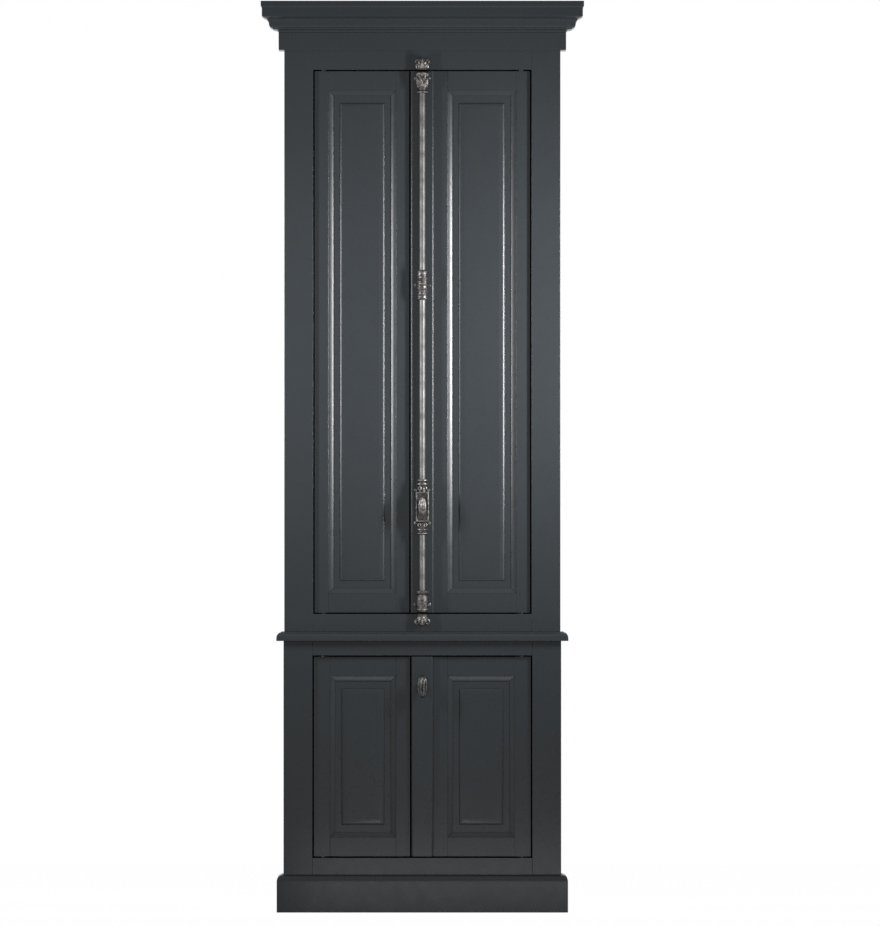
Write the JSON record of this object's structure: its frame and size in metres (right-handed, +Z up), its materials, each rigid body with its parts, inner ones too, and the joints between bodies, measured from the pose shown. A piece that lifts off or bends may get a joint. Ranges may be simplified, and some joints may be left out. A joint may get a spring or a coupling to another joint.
{
  "type": "cupboard",
  "caption": "Tall narrow painted cupboard in two parts with panelled doors, a cremone bolt, a plinth and a moulded crown.",
  "frame": {"origin": "middle of the footprint of the whole, on the floor", "axes": "+Z up, the front faces -Y, +X to the viewer's right"},
  "size_m": [0.851, 0.442, 2.4],
  "materials": {
    "paint": "satin",
    "inner_paint": "satin",
    "pewter": "satin",
    "brass": "satin",
    "magnet": "matte"
  },
  "bodies": {
    "carcass": {"plinth_front": "paint", "plinth_returns": "paint", "lower_sides": "paint", "lower_bottom_board": "inner_paint", "lower_back": "inner_paint", "lower_stiles": "paint", "lower_rails": "paint", "waist_board": "paint", "lower_shelf": "inner_paint", "upper_sides": "paint", "upper_bottom_board": "inner_paint", "upper_top_board": "inner_paint", "upper_back": "inner_paint", "upper_stiles": "paint", "upper_rails": "paint", "upper_shelves": "inner_paint", "shelf_pins": "brass", "frieze_front": "paint", "frieze_returns": "paint", "crown_front": "paint", "crown_returns": "paint", "stop_battens": "inner_paint", "catch_magnets": "magnet", "upper_pivot_bushes": "brass", "lower_pivot_bushes": "brass", "bolt_keeper_top": "pewter", "bolt_keeper_bottom": "pewter", "keeper_screws": "pewter"},
    "upper_left_door": {"upper_left_stiles": "paint", "upper_left_rails": "paint", "upper_left_panel": "paint", "pivot_pins_upper_left": "pewter", "catch_disc_upper": "pewter"},
    "upper_right_door": {"upper_right_stiles": "paint", "upper_right_rails": "paint", "upper_right_panel": "paint", "pivot_pins_upper_right": "pewter", "upper_strip": "paint", "bolt_case": "pewter", "bolt_guide_top": "pewter", "bolt_guide_middle": "pewter", "bolt_guide_bottom": "pewter", "bolt_screws": "pewter"},
    "lower_left_door": {"lower_left_stiles": "paint", "lower_left_rails": "paint", "lower_left_panel": "paint", "pivot_pins_lower_left": "pewter", "catch_disc_lower": "pewter"},
    "lower_right_door": {"lower_right_stiles": "paint", "lower_right_rails": "paint", "lower_right_panel": "paint", "pivot_pins_lower_right": "pewter", "lower_strip": "paint", "latch_rose": "pewter"},
    "bolt_knob_set": {"bolt_knob": "pewter", "bolt_pinion": "pewter"},
    "bolt_top_rod": {"bolt_rod_top": "pewter"},
    "bolt_bottom_rod": {"bolt_rod_bottom": "pewter"},
    "latch_set": {"latch_knob": "pewter", "latch_tongue": "pewter"}
  },
  "joints": [
    {"name": "upper_left_hinge", "type": "hinge", "parent": "carcass", "child": "upper_left_door", "pos_m": [-0.2603, -0.136, 0.786], "axis": [0, 0, -1], "range_deg": [0, 110]},
    {"name": "upper_right_hinge", "type": "hinge", "parent": "carcass", "child": "upper_right_door", "pos_m": [0.2603, -0.136, 0.786], "axis": [0, 0, 1], "range_deg": [0, 110]},
    {"name": "lower_left_hinge", "type": "hinge", "parent": "carcass", "child": "lower_left_door", "pos_m": [-0.2623, -0.148, 0.144], "axis": [0, 0, -1], "range_deg": [0, 110]},
    {"name": "lower_right_hinge", "type": "hinge", "parent": "carcass", "child": "lower_right_door", "pos_m": [0.2623, -0.148, 0.144], "axis": [0, 0, 1], "range_deg": [0, 110]},
    {"name": "top_rod_slide", "type": "slide", "parent": "upper_right_door", "child": "bolt_top_rod", "axis": [0, 0, 1], "range_m": [0, 0.01178]},
    {"name": "bottom_rod_slide", "type": "slide", "parent": "upper_right_door", "child": "bolt_bottom_rod", "axis": [0, 0, -1], "range_m": [0, 0.01178]},
    {"name": "bolt_turn", "type": "hinge", "parent": "upper_right_door", "child": "bolt_knob_set", "pos_m": [0, -0.168, 1.068], "axis": [0, -1, 0], "range_deg": [0, 90]},
    {"name": "latch_turn", "type": "hinge", "parent": "lower_right_door", "child": "latch_set", "pos_m": [0, -0.171, 0.595], "axis": [0, -1, 0], "range_deg": [0, 90]}
  ],
  "couplings": [
    {"joint": "bolt_turn", "follows": "top_rod_slide", "rad_per_m": 133.33},
    {"joint": "bottom_rod_slide", "follows": "top_rod_slide", "ratio": 1}
  ]
}
